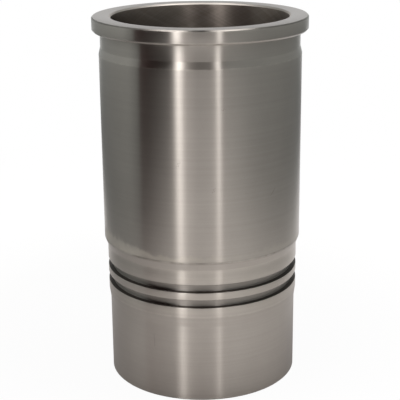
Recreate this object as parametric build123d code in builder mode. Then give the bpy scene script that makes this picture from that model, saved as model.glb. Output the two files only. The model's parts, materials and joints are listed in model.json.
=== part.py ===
import os

from build123d import *

# Wet cylinder liner of a heavy diesel engine: one cast iron tube, turned outside and honed inside.
# Millimetres, +Z up, standing on its lower end face with the origin at that face's centre.

# Bore and wall, then the steps from one turned diameter to the next, all measured on the radius
bore_diameter = 128.0
skirt_wall = 6.05
pilot_step = 1.05
body_step = 2.2
neck_relief = 1.25
collar_overhang = 5.7

# Lengths of the outside, from the lower end face up
skirt_length = 57.6
skirt_taper_length = 7.7
lower_land = 7.2
groove_width = 6.0
groove_land = 5.4
upper_land = 10.8
shoulder_length = 6.1
body_length = 136.5
neck_taper_length = 5.0
neck_length = 11.6
collar_height = 10.1

# Grooves for the sealing rings, cut into the lower pilot
groove_count = 2
groove_depth = 3.4
groove_edge_break = 0.2

# Edges
bore_top_lead_in = 1.15
bore_foot_lead_in = 1.5
foot_chamfer = 0.8
collar_top_chamfer = 0.85
collar_seat_chamfer = 1.3
collar_root_radius = 0.8
pilot_edge_radius = 1.0

bore_radius = bore_diameter / 2
skirt_radius = bore_radius + skirt_wall
pilot_radius = skirt_radius + pilot_step
body_radius = pilot_radius + body_step
neck_radius = body_radius - neck_relief
collar_radius = neck_radius + collar_overhang
groove_floor = pilot_radius - groove_depth

groove_pitch = groove_width + groove_land
pilot_foot = skirt_length + skirt_taper_length
lowest_groove = pilot_foot + lower_land
highest_groove = lowest_groove + (groove_count - 1) * groove_pitch
pilot_top = highest_groove + groove_width + upper_land
body_foot = pilot_top + shoulder_length
body_top = body_foot + body_length
neck_foot = body_top + neck_taper_length
collar_seat = neck_foot + neck_length
liner_height = collar_seat + collar_height


def rim(liner, radius, height):
    # The round edge of one radius at one height
    rings = liner.edges().filter_by(GeomType.CIRCLE)
    level_rings = rings.filter_by(lambda ring: abs(ring.arc_center.Z - height) < 0.001)
    return level_rings.sort_by(lambda ring: abs(ring.radius - radius))[0]


with BuildPart() as cylinder_liner:
    # The tube is turned from half its section, drawn up the outside and back down the bore.
    with BuildSketch(Plane.XZ) as half_section:
        with BuildLine():
            Polyline(
                (bore_radius, 0),
                (skirt_radius, 0),
                (skirt_radius, skirt_length),
                (pilot_radius, pilot_foot),
                (pilot_radius, pilot_top),
                (body_radius, body_foot),
                (body_radius, body_top),
                (neck_radius, neck_foot),
                (neck_radius, collar_seat),
                (collar_radius, collar_seat),
                (collar_radius, liner_height),
                (bore_radius, liner_height),
                close=True,
            )
        make_face()

        # Both pilots are eased at their ends, and the collar's root is rounded against cracking.
        for end in ((pilot_radius, pilot_foot), (body_radius, body_foot), (body_radius, body_top)):
            fillet(half_section.vertices().sort_by_distance(end)[0], pilot_edge_radius)
        root = (neck_radius, collar_seat)
        fillet(half_section.vertices().sort_by_distance(root)[0], collar_root_radius)
    revolve(axis=Axis.Z)

    # Square ring grooves, one above the other
    with BuildSketch(Plane.XZ):
        with Locations((groove_floor, lowest_groove)):
            with GridLocations(0, groove_pitch, 1, groove_count, align=(Align.MIN, Align.MIN)):
                Rectangle(groove_depth, groove_width, align=(Align.MIN, Align.MIN))
    revolve(axis=Axis.Z, mode=Mode.SUBTRACT)

    for groove in range(groove_count):
        groove_foot = lowest_groove + groove * groove_pitch
        chamfer(rim(cylinder_liner, pilot_radius, groove_foot), groove_edge_break)
        chamfer(rim(cylinder_liner, pilot_radius, groove_foot + groove_width), groove_edge_break)

    # Lead-ins at both mouths of the bore, then the outer edges of the foot and the collar
    chamfer(rim(cylinder_liner, bore_radius, liner_height), bore_top_lead_in)
    chamfer(rim(cylinder_liner, bore_radius, 0), bore_foot_lead_in)
    chamfer(rim(cylinder_liner, skirt_radius, 0), foot_chamfer)
    chamfer(rim(cylinder_liner, collar_radius, liner_height), collar_top_chamfer)
    chamfer(rim(cylinder_liner, collar_radius, collar_seat), collar_seat_chamfer)

cylinder_liner.part.label = "cylinder_liner"

os.makedirs("parts", exist_ok=True)
export_step(cylinder_liner.part, "parts/cylinder_liner.step")
print("height", round(liner_height, 2), "collar diameter", round(2 * collar_radius, 2))
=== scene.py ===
import json
from math import ceil, cos, hypot, pi, radians, sin, tan

import bpy
from mathutils import Matrix, Vector


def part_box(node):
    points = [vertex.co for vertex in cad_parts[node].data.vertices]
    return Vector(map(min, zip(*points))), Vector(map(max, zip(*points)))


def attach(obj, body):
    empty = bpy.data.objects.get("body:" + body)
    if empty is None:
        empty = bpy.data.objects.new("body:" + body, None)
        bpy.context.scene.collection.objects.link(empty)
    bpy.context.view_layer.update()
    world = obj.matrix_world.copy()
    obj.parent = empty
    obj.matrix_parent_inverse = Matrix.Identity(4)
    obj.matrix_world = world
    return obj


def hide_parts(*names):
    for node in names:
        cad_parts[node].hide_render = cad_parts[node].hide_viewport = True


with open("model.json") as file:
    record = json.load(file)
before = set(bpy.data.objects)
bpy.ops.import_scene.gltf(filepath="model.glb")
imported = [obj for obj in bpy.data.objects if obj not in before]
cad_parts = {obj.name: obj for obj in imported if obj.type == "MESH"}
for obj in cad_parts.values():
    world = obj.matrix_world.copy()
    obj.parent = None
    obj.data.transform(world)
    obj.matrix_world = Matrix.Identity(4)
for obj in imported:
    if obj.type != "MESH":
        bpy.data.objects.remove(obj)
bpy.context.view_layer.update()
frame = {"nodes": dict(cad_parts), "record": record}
mm = 0.001
print("frame loaded:", ", ".join(sorted(frame["nodes"])))

mounts = {mount["name"]: mount for mount in frame["record"]["mounts"]}
lowCorner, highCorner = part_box("cylinder_liner")


camera = {
    # its distance in front of the axis, and angles in degrees
    "distance": 804.2 * mm,
    "height": 379.8 * mm,
    "lookDown": 17.2,
    "yaw": -0.088,
    "roll": -0.532,
    "fieldOfView": 20.268,
    "nearest": 10 * mm,
    "furthest": 50.0,
}


def placeCamera():
    data = bpy.data.cameras.new("camera")
    data.angle = radians(camera["fieldOfView"])
    data.clip_start, data.clip_end = camera["nearest"], camera["furthest"]
    eye = bpy.data.objects.new("camera", data)
    turn = Matrix.Rotation(radians(-camera["yaw"]), 4, "Z")
    tilt = Matrix.Rotation(radians(90 - camera["lookDown"]), 4, "X")
    lean = Matrix.Rotation(radians(camera["roll"]), 4, "Z")
    stand = Matrix.Translation((0, -camera["distance"], camera["height"]))
    eye.matrix_world = stand @ turn @ tilt @ lean
    bpy.context.scene.collection.objects.link(eye)
    bpy.context.scene.camera = eye


placeCamera()
bpy.context.scene.view_settings.view_transform = "Standard"
print("camera placed")


class Signal:
    # A node's output, which can stand in a sum
    def __init__(self, finish, output):
        self.finish, self.output = finish, output

    def maths(self, operation, first, second):
        return self.finish.node("Math", {"operation": operation}, {0: first, 1: second})

    def __add__(self, other):
        return self.maths("ADD", self, other)

    def __radd__(self, other):
        return self.maths("ADD", other, self)

    def __sub__(self, other):
        return self.maths("SUBTRACT", self, other)

    def __rsub__(self, other):
        return self.maths("SUBTRACT", other, self)

    def __mul__(self, other):
        return self.maths("MULTIPLY", self, other)

    def __rmul__(self, other):
        return self.maths("MULTIPLY", other, self)

    def __truediv__(self, other):
        return self.maths("DIVIDE", self, other)

    def __rtruediv__(self, other):
        return self.maths("DIVIDE", other, self)


class Finish:
    # The nodes of one material, or of the world
    def __init__(self, holder):
        self.holder = holder
        holder.use_nodes = True
        self.tree = holder.node_tree
        self.tree.nodes.clear()

    def node(self, kind, settings=None, sockets=None, output=0):
        made = self.tree.nodes.new("ShaderNode" + kind)
        for name, value in (settings or {}).items():
            if name == "stops":
                self.setStops(made.color_ramp, value)
            else:
                setattr(made, name, value)
        for name, value in (sockets or {}).items():
            if isinstance(value, Signal):
                self.tree.links.new(value.output, made.inputs[name])
            else:
                made.inputs[name].default_value = value
        return Signal(self, made.outputs[output]) if len(made.outputs) else made

    def setStops(self, ramp, stops):
        while len(ramp.elements) < len(stops):
            ramp.elements.new(1)
        for element, (place, colour) in zip(ramp.elements, stops):
            element.position = place
            element.color = colour

    def mixColours(self, factor, first, second):
        return self.node("Mix", {"data_type": "RGBA"}, {0: factor, 6: first, 7: second}, 2)

    def remap(self, value, low, high, toLow=0.0, toHigh=1.0):
        return self.node("MapRange", {}, {0: value, 1: low, 2: high, 3: toLow, 4: toHigh})

    def soften(self, value, low, high, toLow=0.0, toHigh=1.0):
        sockets = {0: value, 1: low, 2: high, 3: toLow, 4: toHigh}
        return self.node("MapRange", {"interpolation_type": "SMOOTHSTEP"}, sockets)

    def larger(self, first, second):
        return self.node("Math", {"operation": "MAXIMUM"}, {0: first, 1: second})

    def smaller(self, first, second):
        return self.node("Math", {"operation": "MINIMUM"}, {0: first, 1: second})

    def size(self, value):
        return self.node("Math", {"operation": "ABSOLUTE"}, {0: value})

    def stretch(self, place, across, up):
        # The place with its scale across and up the axis changed, both in waves to the metre
        return self.node("VectorMath", {"operation": "MULTIPLY"}, {0: place, 1: (across, across, up)})

    def distance(self, first, second):
        return self.node("VectorMath", {"operation": "DISTANCE"}, {0: first, 1: second}, "Value")

    def noise(self, place, detail=2.0, roughness=0.5):
        sockets = {"Vector": place, "Scale": 1.0, "Detail": detail, "Roughness": roughness}
        return self.node("TexNoise", {}, sockets)

    def clouds(self, place, look):
        # Noise by its waves to the metre across and up, its detail and its roughness
        return self.noise(self.stretch(place, *look["waves"]), look["detail"], look["roughness"])

    def blotches(self, place, look, toLow=0.0, toHigh=1.0):
        return self.remap(self.clouds(place, look), *look["span"], toLow, toHigh)

    def objectPlace(self):
        return self.node("TexCoord", {}, {}, "Object")

    def part(self, place, axis):
        return self.node("SeparateXYZ", {}, {0: place}, axis)

    def azimuth(self, place):
        # The angle round the axis from the camera's side, positive to the right
        right, front = self.part(place, "X"), 0 - self.part(place, "Y")
        return self.node("Math", {"operation": "ARCTAN2"}, {0: right, 1: front})

    def radius(self, place):
        return self.node("VectorMath", {"operation": "LENGTH"}, {0: self.stretch(place, 1, 0)}, "Value")

    def twisted(self, place, turnsPerMetre):
        # The place turned about the axis as it rises, so lines run up it as on a screw
        angle = self.part(place, "Z") * (2 * pi * turnsPerMetre)
        return self.node("VectorRotate", {"rotation_type": "Z_AXIS"}, {"Vector": place, "Angle": angle})

    def show(self, surface, output="OutputMaterial"):
        # Ends the nodes with what the surface shows
        self.node(output, {}, {"Surface": surface})
        return self.holder


def grey(level):
    return (level, level, level, 1)


def addMesh(name, vertices, faces, material):
    mesh = bpy.data.meshes.new(name)
    mesh.from_pydata(vertices, [], faces)
    mesh.materials.append(material)
    piece = bpy.data.objects.new(name, mesh)
    bpy.context.scene.collection.objects.link(piece)
    return piece


def addSheet(name, sides, ends, material):
    # A level rectangle between two sides and two ends
    (left, right), (front, back) = sides, ends
    corners = [(left, front, 0), (right, front, 0), (right, back, 0), (left, back, 0)]
    return addMesh(name, corners, [(0, 1, 2, 3)], material)


liner = {
    # steps from one turned diameter to the next, on the radius
    "skirtWall": 6.05 * mm,
    "neckRelief": 1.25 * mm,
    "grooveDepth": 3.4 * mm,
    # lengths of the outside, from the foot up
    "skirtLength": 57.6 * mm,
    "skirtTaper": 7.7 * mm,
    "lowerLand": 7.2 * mm,
    "grooves": 2,
    "grooveWidth": 6.0 * mm,
    "grooveLand": 5.4 * mm,
    "upperLand": 10.8 * mm,
    "shoulder": 6.1 * mm,
    "neckTaper": 5.0 * mm,
    "neckLength": 11.6 * mm,
    # chamfers and lead-ins, then the radii that round the corners
    "footChamfer": 0.8 * mm,
    "footLeadIn": 1.5 * mm,
    "topLeadIn": 1.15 * mm,
    "collarTopChamfer": 0.85 * mm,
    "collarSeatChamfer": 1.3 * mm,
    "collarRoot": 0.8 * mm,
    "easedEdge": 1.0 * mm,
    "shoulderRoot": 7 * mm,
    "sharpEdge": 0.12 * mm,
    "grooveEdge": 0.25 * mm,
    "grooveFloorEdge": 0.4 * mm,
    # how finely it is turned: faces round it, the turn in degrees and length of one step along an
    # arc, and the longest step along a straight run
    "segments": 360,
    "arcTurn": 20,
    "arcStep": 1.0 * mm,
    "longestStep": 6.0 * mm,
}


def stepHeights():
    # Where the outside's steps stand, up from the foot to the body and down from the seat to it
    s = liner
    pilotFoot = s["skirtLength"] + s["skirtTaper"]
    pitch = s["grooveWidth"] + s["grooveLand"]
    grooveFeet = [pilotFoot + s["lowerLand"] + groove * pitch for groove in range(s["grooves"])]
    pilotTop = grooveFeet[-1] + s["grooveWidth"] + s["upperLand"]
    neckFoot = mounts["collar_seat"]["pos_m"][2] - s["neckLength"]
    return {
        "pilotFoot": pilotFoot,
        "grooveFeet": grooveFeet,
        "pilotTop": pilotTop,
        "bodyFoot": pilotTop + s["shoulder"],
        "bodyTop": neckFoot - s["neckTaper"],
        "neckFoot": neckFoot,
    }


heights = stepHeights()


def linerSection():
    # Corners of half the section, up the outside and back down the bore: radius, height,
    # rounding, the finish of the run that follows, and whether handling wears the corner
    s = liner
    bore = mounts["bore"]["dims"]["r_mm"] * mm
    body = mounts["upper_pilot"]["dims"]["r_mm"] * mm
    pilot = mounts["lower_pilot"]["dims"]["r_mm"] * mm
    seat = mounts["collar_seat"]["pos_m"][2]
    skirt = bore + s["skirtWall"]
    neck = body - s["neckRelief"]
    collar, top = highCorner.x, highCorner.z
    edge = s["sharpEdge"]
    section = [
        (bore + s["footLeadIn"], 0, edge, "faced", False),
        (skirt - s["footChamfer"], 0, edge, "turned", False),
        (skirt, s["footChamfer"], edge, "turned", True),
        (skirt, s["skirtLength"], edge, "turned", False),
        (pilot, heights["pilotFoot"], s["easedEdge"], "ground", True),
    ]
    for foot in heights["grooveFeet"]:
        head, floor = foot + s["grooveWidth"], pilot - s["grooveDepth"]
        section += [
            (pilot, foot, s["grooveEdge"], "grooveSide", True),
            (floor, foot, s["grooveFloorEdge"], "groove", False),
            (floor, head, s["grooveFloorEdge"], "grooveSide", False),
            (pilot, head, s["grooveEdge"], "ground", False),
        ]
    section += [
        (pilot, heights["pilotTop"], s["shoulderRoot"], "turned", False),
        (body, heights["bodyFoot"], s["easedEdge"], "turned", True),
        (body, heights["bodyTop"], s["easedEdge"], "turned", True),
        (neck, heights["neckFoot"], edge, "turned", False),
        (neck, seat, s["collarRoot"], "turned", False),
        (collar - s["collarSeatChamfer"], seat, edge, "turned", False),
        (collar, seat + s["collarSeatChamfer"], edge, "turned", True),
        (collar, top - s["collarTopChamfer"], edge, "turned", True),
        (collar - s["collarTopChamfer"], top, edge, "faced", True),
        (bore + s["topLeadIn"], top, edge, "leadIn", False),
        (bore, top - s["topLeadIn"], edge, "honed", False),
        (bore, s["footLeadIn"], edge, "faced", False),
    ]
    return section


def roundedSection(section):
    # Points around the section with each corner as an arc: radius, height and finish
    points = []
    for number, (radius, height, rounding, finish, handled) in enumerate(section):
        before, after = section[number - 1], section[(number + 1) % len(section)]
        corner, far = Vector((radius, height)), Vector(after[:2])
        back = (Vector(before[:2]) - corner).normalized()
        ahead = (far - corner).normalized()
        turn = pi - back.angle(ahead)
        reach = rounding * tan(turn / 2)
        start, end = corner + back * reach, corner + ahead * reach
        centre = corner + (back + ahead).normalized() * hypot(rounding, reach)
        byTurn = ceil(turn / radians(liner["arcTurn"]))
        steps = max(2, byTurn, ceil(rounding * turn / liner["arcStep"]))
        for step in range(steps + 1):
            share = step / steps
            point = centre + (start.lerp(end, share) - centre).normalized() * rounding
            points.append((point.x, point.y, before[3] if share < 0.5 else finish))
        extra = int((far - end).length / liner["longestStep"])
        for step in range(1, extra + 1):
            point = end.lerp(far, step / (extra + 1))
            points.append((point.x, point.y, finish))
    return points


def turnLiner(finishes):
    points = roundedSection(linerSection())
    segments = liner["segments"]
    vertices, faces, slots = [], [], []
    names = list(finishes)
    for segment in range(segments):
        angle = 2 * pi * segment / segments
        across, back = cos(angle), sin(angle)
        vertices += [(radius * across, radius * back, height) for radius, height, finish in points]
    count = len(points)
    for segment in range(segments):
        here, there = segment * count, (segment + 1) % segments * count
        for point in range(count):
            after = (point + 1) % count
            faces.append((here + point, there + point, there + after, here + after))
            slots.append(names.index(points[point][2]))
    mesh = bpy.data.meshes.new("cylinderLiner")
    mesh.from_pydata(vertices, [], faces)
    for finish in finishes.values():
        mesh.materials.append(finish)
    mesh.polygons.foreach_set("material_index", slots)
    mesh.polygons.foreach_set("use_smooth", [True] * len(faces))
    mesh.update()
    piece = bpy.data.objects.new("cylinderLiner", mesh)
    bpy.context.scene.collection.objects.link(piece)
    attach(piece, "root")
    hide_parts("cylinder_liner")
    print("liner turned:", count, "rings of", segments, "faces")
    return piece


iron = {
    # dark and light shade of the bare metal, and how strongly each pattern moves between them
    "shades": ((0.350, 0.320, 0.290), (0.435, 0.400, 0.367)),
    "bandContrast": 1.6,
    "patchContrast": 0.8,
    "patches": {"waves": (28, 22), "detail": 4, "roughness": 0.55},
    # the size of its pores, where their noise turns into one, and how dark and deep they are
    "poreSize": 0.5 * mm,
    "poreEdge": (0.58, 0.75),
    "poreDarkness": 0.35,
    "pitEdge": (0.6, 0.75),
    "pitDepth": 0.5,
    # how far the bands, the patches and the marks change its roughness, and the bands' own height
    "dulling": (0.12, 0.08, 0.05),
    "bandHeight": 0.6,
}

# Each finish: its roughness, how far its grain stretches a highlight and which way as a share of a
# turn, the size and depth of its marks and their bands, and how much they change its shade and
# roughness
turned = {
    "roughness": 0.285,
    "anisotropy": 1.0,
    "grainTurn": 0.25,
    "markPitch": 0.34 * mm,
    "bandPitch": 2.6 * mm,
    "markLength": 160 * mm,
    "markDepth": 0.001 * mm,
    "contrast": 0.4,
    "unevenness": 0.12,
    "tint": (1, 1, 1),
}

# The sealing lands round the ring grooves are ground; their brighter tint is partly painted reflection.
ground = {**turned, "tint": (1.07, 1.07, 1.06)}

faced = {
    "roughness": 0.33,
    "anisotropy": 0.5,
    "grainTurn": 0.25,
    "markPitch": 0.3 * mm,
    "bandPitch": 1.5 * mm,
    "markLength": 30 * mm,
    "markDepth": 0.008 * mm,
    "contrast": 1.2,
    "unevenness": 0.5,
    "tint": (0.62, 0.62, 0.62),
}

# The lead-in at the mouth is tinted brighter than the face beside it: a painted highlight.
leadIn = {**faced, "roughness": 0.46, "anisotropy": 0.15, "tint": (1.55, 1.55, 1.55)}

honed = {
    "roughness": 0.42,
    "anisotropy": 0.8,
    "grainTurn": 0.222,
    "hatchAngle": 27,
    "markPitch": 1.2 * mm,
    "bandPitch": 3.5 * mm,
    "markLength": 60 * mm,
    "markDepth": 0.015 * mm,
    "contrast": 2.5,
    "unevenness": 1.0,
    "tint": (0.80, 0.745, 0.715),
}

grooved = {
    "roughness": 0.40,
    "anisotropy": 0.95,
    "grainTurn": 0.25,
    "markPitch": 0.3 * mm,
    "bandPitch": 1.2 * mm,
    "markLength": 30 * mm,
    "markDepth": 0.004 * mm,
    "contrast": 0.6,
    "unevenness": 0.3,
    # darker than the lands: painted shade in the recess
    "tint": (0.82, 0.82, 0.82),
}

# The sides of the grooves are tinted nearly black: painted shade in the recess.
grooveSide = {**grooved, "tint": (0.30, 0.28, 0.27), "roughness": 0.5}


def turnedMarks(finish, place, look):
    # Lines left by the tool as it went round, fine ones within broader bands three times as long
    along = 1 / look["markLength"]
    fine = finish.noise(finish.stretch(place, along, 1 / look["markPitch"]))
    bands = finish.noise(finish.stretch(place, along / 3, 1 / look["bandPitch"]), detail=3)
    return fine, bands


def facedMarks(finish, place, look):
    # Rings round the axis, with the distance from it in place of the height
    radius = finish.radius(place)
    sockets = {"X": finish.part(place, "X"), "Y": finish.part(place, "Y"), "Z": radius}
    return turnedMarks(finish, finish.node("CombineXYZ", {}, sockets), look)


def honedMarks(finish, place, look):
    # Two sets of lines that cross, each running up the bore as on a screw
    around = 2 * pi * mounts["bore"]["dims"]["r_mm"] * mm
    turns = 1 / (around * tan(radians(look["hatchAngle"])))
    along = 1 / look["markLength"]
    fine, bands = [], []
    for turnsPerMetre in (turns, -turns):
        twisted = finish.twisted(place, turnsPerMetre)
        fine.append(finish.noise(finish.stretch(twisted, 1 / look["markPitch"], along)))
        bands.append(finish.noise(finish.stretch(twisted, 1 / look["bandPitch"], along), detail=3))
    return (fine[0] + fine[1]) / 2, (bands[0] + bands[1]) / 2


residue = {
    "colour": (0.47, 0.43, 0.375, 1),
    # heights over the body's foot where it starts and where its ragged edge runs, how much of the
    # latter it reaches at two azimuths in degrees, and how softly it ends
    "start": (-1 * mm, 0),
    "height": (3.4 * mm, 8.6 * mm),
    "climb": {-62: 1.5, -26: 0.95},
    "softness": (0.6, 1.1),
    "rags": {"waves": (110, 40), "detail": 5, "roughness": 0.75, "span": (0.35, 0.65)},
    # the azimuth of its middle, how far from there it thins out, and what is left of it beyond
    "middle": -52,
    "thinning": (25, 65),
    "leftOver": 0.3,
    "patches": {"waves": (90, 160), "detail": 3, "roughness": 0.5, "span": (0.3, 0.6)},
    "thinnest": 0.4,
    "cover": 0.9,
    "dulling": 0.14,
    "metalHidden": 0.3,
}


def residueMask(finish, place):
    # Pale, with a ragged upper edge, just above the body's foot and mostly on the left
    height = finish.part(place, "Z") - heights["bodyFoot"]
    ragged = finish.blotches(place, residue["rags"], *residue["height"])
    azimuth = finish.azimuth(place)
    (start, high), (end, low) = residue["climb"].items()
    climb = finish.soften(azimuth, radians(start), radians(end), high, low)
    below = finish.soften(height / (ragged * climb), *residue["softness"], 1, 0)
    above = finish.remap(height, *residue["start"])
    near, far = [radians(turn) for turn in residue["thinning"]]
    off = finish.size(azimuth - radians(residue["middle"]))
    left = finish.soften(off, near, far, 1, residue["leftOver"])
    return below * above * left * finish.blotches(place, residue["patches"], residue["thinnest"], 1)


darkMarksAndPaintedShade = {
    # the dark colour of the scratches and the line along the body's foot, also used for the painted
    # shade in the grooves and the bore
    "colour": (0.05, 0.045, 0.04, 1),
    # a line along the body's foot: how far it reaches to both sides of it, and its faintest part
    "lineReach": (0.2 * mm, 1.3 * mm),
    "lineBlotches": {"waves": (30, 30), "detail": 4, "roughness": 0.65, "span": (0.35, 0.6)},
    "lineFaintest": 0.2,
    "lineCover": 0.6,
    # painted shade in the ring grooves: the least shaded height in each as a share of its width, and
    # how far from there the painted shade starts and is whole
    "cleanest": 0.4,
    "grimeReach": (1.7 * mm, 2.7 * mm),
    "grimeCover": 0.6,
    # painted shade in the bore, darker further down, and the depth at which it is whole
    "filmDepth": 40 * mm,
    "filmCover": 0.32,
}


def oilLine(finish, place):
    # A thin dark line along the body's foot
    height = finish.part(place, "Z") - heights["bodyFoot"]
    line = finish.soften(finish.size(height), *darkMarksAndPaintedShade["lineReach"], 1, 0)
    return line * finish.blotches(place, darkMarksAndPaintedShade["lineBlotches"], darkMarksAndPaintedShade["lineFaintest"], 1)


def grooveGrime(finish, place):
    # Painted shade in the ring grooves, darker towards their upper and lower corners
    height = finish.part(place, "Z")
    off = highCorner.z  # further than any height is from a groove
    for foot in heights["grooveFeet"]:
        clean = foot + liner["grooveWidth"] * darkMarksAndPaintedShade["cleanest"]
        off = finish.smaller(finish.size(height - clean), off)
    return finish.soften(off, *darkMarksAndPaintedShade["grimeReach"])


def boreFilm(finish, place):
    # Painted shade in the bore, darker further down from the mouth
    return finish.remap(highCorner.z - finish.part(place, "Z"), 0, darkMarksAndPaintedShade["filmDepth"])


# Handling marks: degrees round from the camera's side, height and length in millimetres, tilt in
# degrees, and the length and size of the waves that each one wobbles in
scratches = [
    {"around": -12.5, "height": 178, "length": 6.5, "tilt": 62, "wave": 2.6, "wobble": 0.7},
    {"around": 6.5, "height": 160, "length": 5.0, "tilt": 74, "wave": 2.2, "wobble": 0.6},
    {"around": 12.0, "height": 216, "length": 3.5, "tilt": 20, "wave": 2.0, "wobble": 0.5},
    {"around": 43.0, "height": 153, "length": 8.0, "tilt": 40, "wave": 9.0, "wobble": 0.2},
    {"around": -30.0, "height": 44, "length": 12.0, "tilt": 88, "wave": 15.0, "wobble": 0.3},
    {"around": 150.0, "height": 190, "length": 14.0, "tilt": 15, "wave": 12.0, "wobble": 0.4},
    {"around": -120.0, "height": 130, "length": 9.0, "tilt": 70, "wave": 8.0, "wobble": 0.3},
]

scratchLook = {
    "width": 0.3 * mm,
    "depth": 0.02 * mm,
    "ends": (0.3, 0.5),  # shares of the length from its middle between which it fades out
    "cover": 0.35,
    "dulling": 0.12,
}


def scratchMask(finish, place):
    around = finish.azimuth(place)
    height = finish.part(place, "Z")
    radius = mounts["upper_pilot"]["dims"]["r_mm"] * mm
    marks = 0
    for scratch in scratches:
        tilt = radians(scratch["tilt"])
        sideways = (around - radians(scratch["around"])) * radius
        upwards = height - scratch["height"] * mm
        along = sideways * cos(tilt) + upwards * sin(tilt)
        across = upwards * cos(tilt) - sideways * sin(tilt)
        waves = along * (2 * pi / (scratch["wave"] * mm))
        wobble = finish.node("Math", {"operation": "SINE"}, {0: waves})
        off = finish.size(across - wobble * (scratch["wobble"] * mm))
        line = finish.remap(off, 0, scratchLook["width"], 1, 0)
        start, end = [scratch["length"] * mm * share for share in scratchLook["ends"]]
        ends = finish.remap(finish.size(along), start, end, 1, 0)
        marks = finish.larger(line * ends, marks)
    return marks


wear = {
    "colour": (0.54, 0.50, 0.455, 1),
    "reach": (0.15 * mm, 0.9 * mm),
    "blotches": {"waves": (160, 160), "detail": 4, "roughness": 0.6, "span": (0.35, 0.6)},
    "cover": 0.5,
    "dulling": 0.05,
}


def wearMask(finish, place):
    # The outer corners, where handling has polished the metal
    sockets = {"X": finish.radius(place), "Y": finish.part(place, "Z")}
    section = finish.node("CombineXYZ", {}, sockets)
    worn = 0
    for radius, height, rounding, finishName, handled in linerSection():
        if handled:
            off = finish.distance(section, (radius, height, 0))
            worn = finish.larger(finish.remap(off, *wear["reach"], 1, 0), worn)
    return worn * finish.blotches(place, wear["blotches"])


def tinted(shade, tint):
    return tuple(level * share for level, share in zip(shade, tint)) + (1,)


def ironFinish(name, look, marksOf, details):
    # Bare cast iron with the marks of one tool, what else lies on that surface, and any painted shade
    finish = Finish(bpy.data.materials.new(name))
    place = finish.objectPlace()
    fine, bands = marksOf(finish, place, look)
    patches = finish.clouds(place, iron["patches"])
    poreWaves = 1 / iron["poreSize"]
    pores = finish.noise(finish.stretch(place, poreWaves, poreWaves))

    contrast = look["contrast"]
    tone = 0.5 + (fine - 0.5) * contrast + (bands - 0.5) * contrast * iron["bandContrast"]
    tone = tone + (patches - 0.5) * iron["patchContrast"]
    tone = tone - finish.remap(pores, *iron["poreEdge"], 0, iron["poreDarkness"])
    dark, light = [tinted(shade, look["tint"]) for shade in iron["shades"]]
    colour = finish.mixColours(finish.remap(tone, 0, 1), dark, light)
    byBands, byPatches, byMarks = iron["dulling"]
    uneven = (bands - 0.5) * byBands + (patches - 0.5) * byPatches + (fine - 0.5) * byMarks
    roughness = look["roughness"] + uneven * look["unevenness"]
    pits = finish.remap(pores, *iron["pitEdge"], 0, iron["pitDepth"])
    relief = fine + bands * iron["bandHeight"] - pits
    sockets = {"Strength": 1.0, "Distance": look["markDepth"], "Height": relief}
    normal = finish.node("Bump", {}, sockets)
    metallic = 1.0

    if "residue" in details:
        pale = residueMask(finish, place)
        colour = finish.mixColours(pale * residue["cover"], colour, residue["colour"])
        roughness = roughness + pale * residue["dulling"]
        metallic = 1 - pale * residue["metalHidden"]
    # the dark line along the body's foot, and painted shade in the ring grooves and down the bore
    for detail, maskOf, cover in (
        ("oilLine", oilLine, darkMarksAndPaintedShade["lineCover"]),
        ("grooveGrime", grooveGrime, darkMarksAndPaintedShade["grimeCover"]),
        ("boreFilm", boreFilm, darkMarksAndPaintedShade["filmCover"]),
    ):
        if detail in details:
            colour = finish.mixColours(maskOf(finish, place) * cover, colour, darkMarksAndPaintedShade["colour"])
    if "wear" in details:
        worn = wearMask(finish, place)
        colour = finish.mixColours(worn * wear["cover"], colour, wear["colour"])
        roughness = roughness + worn * wear["dulling"]
    if "scratches" in details:
        marks = scratchMask(finish, place)
        colour = finish.mixColours(marks * scratchLook["cover"], colour, darkMarksAndPaintedShade["colour"])
        roughness = roughness + marks * scratchLook["dulling"]
        sockets = {"Strength": 1.0, "Distance": scratchLook["depth"], "Height": marks, "Normal": normal}
        normal = finish.node("Bump", {"invert": True}, sockets)

    return finish.show(finish.node("BsdfPrincipled", {}, {
        "Base Color": colour,
        "Metallic": metallic,
        "Roughness": roughness,
        "Anisotropic": look["anisotropy"],
        "Anisotropic Rotation": look["grainTurn"],
        "Normal": normal,
    }))


finishes = {
    "turned": ironFinish("turnedIron", turned, turnedMarks, ("residue", "oilLine", "wear", "scratches")),
    "ground": ironFinish("groundIron", ground, turnedMarks, ("wear",)),
    "groove": ironFinish("grooveIron", grooved, turnedMarks, ("grooveGrime",)),
    "grooveSide": ironFinish("grooveSideIron", grooveSide, facedMarks, ()),
    "faced": ironFinish("facedIron", faced, facedMarks, ("wear",)),
    "leadIn": ironFinish("leadInIron", leadIn, facedMarks, ()),
    "honed": ironFinish("honedIron", honed, honedMarks, ("boreFilm",)),
}
print("iron finishes made:", ", ".join(finishes))
cylinderLiner = turnLiner(finishes)


studio = {
    "floorSize": 14.0,
    "floorGap": 0.05 * mm,
    # painted shadow on the paper: its colour at two distances from its darkest point, behind the axis
    "floorShades": {0.14: (0.42, 0.40, 0.395, 1), 0.30: (0.99, 0.965, 0.95, 1)},
    "darkestPoint": (-0.038, 0.09, 0),
    "whiteShare": 0.96,  # plain white in the floor for the camera, the rest takes the shadow
    "mirroredShare": 0.0,  # the same near the liner for what metal and glass show of it
    "shadowReach": (0.25, 0.7),  # distances from the axis over which the shadow fades out
    "worldLevel": 1.0,  # how strongly the room lights everything but metal
}


def whiteFor(finish, cameraShare, mirroredShare):
    # How white the background shows to the camera, and in metal and glass
    camera = finish.node("LightPath", {}, {}, "Is Camera Ray")
    glossy = finish.node("LightPath", {}, {}, "Is Glossy Ray")
    transmission = finish.node("LightPath", {}, {}, "Is Transmission Ray")
    return camera * cameraShare + finish.larger(glossy, transmission) * mirroredShare


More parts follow.
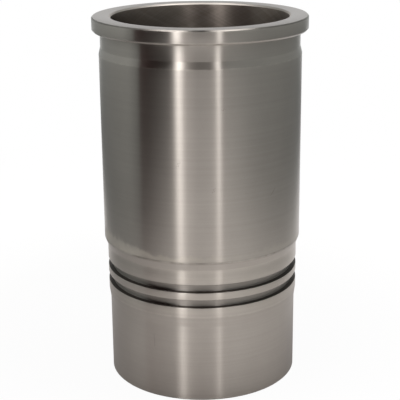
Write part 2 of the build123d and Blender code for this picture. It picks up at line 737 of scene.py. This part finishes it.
def layFloor():
    finish = Finish(bpy.data.materials.new("floor"))
    place = finish.objectPlace()
    away, reach = finish.radius(place), studio["shadowReach"]
    cameraShare = finish.remap(away, *reach, studio["whiteShare"], 1)
    mirroredShare = finish.remap(away, *reach, studio["mirroredShare"], 1)
    # The paper is painted darker near the liner, a painted shadow that shows mostly in the metal
    off = finish.distance(place, studio["darkestPoint"])
    shade = finish.node("ValToRGB", {"stops": list(studio["floorShades"].items())}, {0: off})
    paper = finish.node("BsdfDiffuse", {}, {"Color": shade})
    white = finish.node("Emission", {}, {"Color": grey(1), "Strength": 1.0})
    whiteness = whiteFor(finish, cameraShare, mirroredShare)
    finish.show(finish.node("MixShader", {}, {0: whiteness, 1: paper, 2: white}))
    across = -studio["floorSize"] / 2, studio["floorSize"] / 2
    floor = addSheet("floor", across, across, finish.holder)
    floor.location.z = lowCorner.z - studio["floorGap"]


def greysAround(levels, tint):
    # A tinted grey for each azimuth
    return {azimuth: tinted((level, level, level), tint) for azimuth, level in levels.items()}


def aroundAxis(finish, place, colours):
    # Colours by the azimuth from the camera's side in degrees, each running into the next
    turn = finish.azimuth(place) / (2 * pi) + 0.5
    stops = [((azimuth + 180) / 360, colours[azimuth]) for azimuth in sorted(colours)]
    return finish.node("ValToRGB", {"stops": stops}, {0: turn})


cards = {
    # how far each reaches sideways from the axis, from its inner to its outer edge, and how light
    # it is at each azimuth
    "leftCard": {
        "reach": (-0.255, -1.6),
        "levels": {-150: 0.15, -95: 0.14, -72: 0.07, -60: 0.045, -40: 0.05},
    },
    "rightCard": {
        "reach": (0.318, 1.6),
        "levels": {40: 0.10, 60: 0.13, 95: 0.15},
    },
}

cardLook = {
    "ends": (-1.6, 1.2),
    "lift": 0.5 * mm,
    "tint": (0.97, 1.0, 0.985),
}


def layCards():
    # Dark cards on the floor beside the liner, seen only in its metal
    for name, card in cards.items():
        finish = Finish(bpy.data.materials.new(name))
        colour = aroundAxis(finish, finish.objectPlace(), greysAround(card["levels"], cardLook["tint"]))
        finish.show(finish.node("BsdfDiffuse", {}, {"Color": colour}))
        sheet = addSheet(name, card["reach"], cardLook["ends"], finish.holder)
        sheet.location.z = lowCorner.z + cardLook["lift"]
        sheet.visible_camera = False


tent = {
    "radius": 1.6,
    "height": 2.6,
    "openBehind": 13,  # degrees to each side of straight behind
    "panels": 120,
    # how light the cloth is at each azimuth: cool at the sides and behind, brown in the dark corner
    # on the left, and warm in front
    "behindLeft": {-154: 0.4, -130: 0.6, -85: 0.93, -72: 0.58},
    "corner": {-69: 0.035, -56: 0.015},
    "front": {-33: 0.02, -30: 0.42, -17: 0.84, -5: 0.17, 12: 0.24, 15: 0.5, 23.5: 0.34},
    "behindRight": {30: 0.53, 45: 0.69, 90: 0.65, 120: 0.53, 150: 0.4, 167: 0.6},
    "sideTint": (0.95, 1.0, 0.985),
    "cornerTint": (2.1, 0.5, 0.5),
    "frontTint": (1.06, 1.0, 0.97),
    "windows": {-29.5: 0, -24: 5.7, -17.5: 0, 16.2: 0, 19.3: 4.9, 22.6: 0},
    "fade": {0.2: 1.0, 1.0: 0.45},  # heights, and how much of the cloth's light is left there
    "roof": 0.08,
}


def tentGlow():
    # Cloth that is fainter further up, and bright windows that aren't
    finish = Finish(bpy.data.materials.new("tentCloth"))
    place = finish.objectPlace()
    (low, bright), (high, faint) = tent["fade"].items()
    fade = finish.remap(finish.part(place, "Z"), low, high, bright, faint)
    colours = {
        **greysAround({**tent["behindLeft"], **tent["behindRight"]}, tent["sideTint"]),
        **greysAround(tent["corner"], tent["cornerTint"]),
        **greysAround(tent["front"], tent["frontTint"]),
    }
    cloth = finish.mixColours(fade, grey(0), aroundAxis(finish, place, colours))
    windows = aroundAxis(finish, place, greysAround(tent["windows"], (1, 1, 1)))
    adding = {"data_type": "RGBA", "blend_type": "ADD"}
    glow = finish.node("Mix", adding, {0: 1.0, 6: cloth, 7: windows}, 2)
    return finish.show(finish.node("Emission", {}, {"Color": glow, "Strength": 1.0}))


def hangTent():
    # A tent of pale and dark cloth with two bright windows and a dark roof, seen only in the metal
    rise = Vector((0, 0, tent["height"]))
    vertices, faces = [], []
    for panel in range(tent["panels"] + 1):
        share = 2 * panel / tent["panels"] - 1
        azimuth = radians(share * (180 - tent["openBehind"]))
        foot = Vector((sin(azimuth), -cos(azimuth), 0)) * tent["radius"]
        vertices += [foot, foot + rise]
    for panel in range(tent["panels"]):
        foot = 2 * panel
        faces.append((foot, foot + 2, foot + 3, foot + 1))
    walls = addMesh("tentCloth", vertices, faces, tentGlow())

    finish = Finish(bpy.data.materials.new("tentRoof"))
    finish.show(finish.node("Emission", {}, {"Color": grey(tent["roof"])}))
    across = -tent["radius"], tent["radius"]
    roof = addSheet("tentRoof", across, across, finish.holder)
    roof.location = rise
    for part in (walls, roof):
        part.visible_camera = False
        part.visible_diffuse = False
        part.visible_shadow = False


lamps = {
    # azimuth from the camera's side and elevation in degrees, distance, size and radiance
    "leftBox": {"azimuth": -70, "elevation": 71, "away": 1.4, "size": (0.75, 0.45), "level": 4.1},
    "rightBox": {"azimuth": 75, "elevation": 72, "away": 1.4, "size": (0.75, 0.5), "level": 4.2},
}


def hangLamps():
    middle = Vector((0, 0, highCorner.z / 2))
    for name, lamp in lamps.items():
        data = bpy.data.lights.new(name, "AREA")
        data.shape = "RECTANGLE"
        data.size, data.size_y = lamp["size"]
        data.energy = lamp["level"] * data.size * data.size_y * pi  # what gives that radiance
        azimuth, elevation = radians(lamp["azimuth"]), radians(lamp["elevation"])
        level = Vector((sin(azimuth), -cos(azimuth), 0)) * cos(elevation)
        side = level + Vector((0, 0, sin(elevation)))
        box = bpy.data.objects.new(name, data)
        box.location = middle + side * lamp["away"]
        box.rotation_euler = side.to_track_quat("Z", "Y").to_euler()
        box.visible_camera = False
        bpy.context.scene.collection.objects.link(box)


def lightRoom():
    world = bpy.data.worlds.new("room")
    bpy.context.scene.world = world
    finish = Finish(world)
    dim = finish.node("Background", {}, {"Color": grey(1), "Strength": studio["worldLevel"]})
    white = finish.node("Background", {}, {"Color": grey(1), "Strength": 1.0})
    shown = finish.node("MixShader", {}, {0: whiteFor(finish, 1, 1), 1: dim, 2: white})
    finish.show(shown, "OutputWorld")


layFloor()
layCards()
hangTent()
hangLamps()
lightRoom()
print("studio lit")
